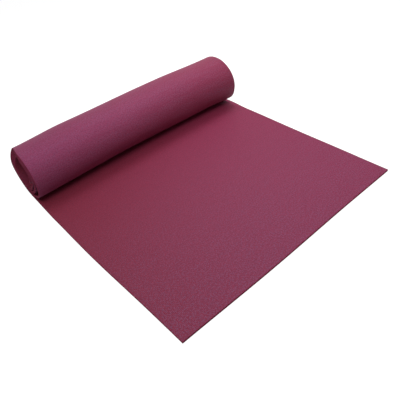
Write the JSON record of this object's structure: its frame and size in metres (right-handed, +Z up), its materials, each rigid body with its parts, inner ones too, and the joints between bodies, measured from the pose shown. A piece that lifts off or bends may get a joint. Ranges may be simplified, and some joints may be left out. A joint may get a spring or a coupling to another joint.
{
  "type": "yoga mat",
  "caption": "Foam yoga mat with its free end laid flat and the rest wound into a loose roll; the laid stretch bends at evenly spaced lines.",
  "frame": {"origin": "middle of the whole mat's box, at floor level", "axes": "+X along the roll, +Y from the free edge towards the roll, +Z up"},
  "size_m": [0.61, 0.6168, 0.1322],
  "materials": {
    "grip_foam": "matte closed-cell foam with a fine pebbled face",
    "base_foam": "matte closed-cell foam with a fine woven-look face",
    "scrim": "open woven polyester net, bonded between the foams"
  },
  "bodies": {
    "rolled_stretch": {"rolled_base_foam": "base_foam", "rolled_scrim": "scrim", "rolled_grip_foam": "grip_foam"},
    "section_4": {"section_4_base_foam": "base_foam", "section_4_scrim": "scrim", "section_4_grip_foam": "grip_foam"},
    "section_3": {"section_3_base_foam": "base_foam", "section_3_scrim": "scrim", "section_3_grip_foam": "grip_foam"},
    "section_2": {"section_2_base_foam": "base_foam", "section_2_scrim": "scrim", "section_2_grip_foam": "grip_foam"},
    "section_1": {"section_1_base_foam": "base_foam", "section_1_scrim": "scrim", "section_1_grip_foam": "grip_foam"}
  },
  "joints": [
    {"name": "bend_4", "type": "hinge", "parent": "rolled_stretch", "child": "section_4", "pos_m": [0, 0.09068, 0.0025], "axis": [-1, 0, 0], "range_deg": [-45, 45], "stiffness_Nm_per_rad": 0.09},
    {"name": "bend_3", "type": "hinge", "parent": "section_4", "child": "section_3", "pos_m": [0, -0.0091, 0.0025], "axis": [-1, 0, 0], "range_deg": [-45, 45], "stiffness_Nm_per_rad": 0.09},
    {"name": "bend_2", "type": "hinge", "parent": "section_3", "child": "section_2", "pos_m": [0, -0.10887, 0.0025], "axis": [-1, 0, 0], "range_deg": [-45, 45], "stiffness_Nm_per_rad": 0.09},
    {"name": "bend_1", "type": "hinge", "parent": "section_2", "child": "section_1", "pos_m": [0, -0.20864, 0.0025], "axis": [-1, 0, 0], "range_deg": [-45, 45], "stiffness_Nm_per_rad": 0.09}
  ]
}
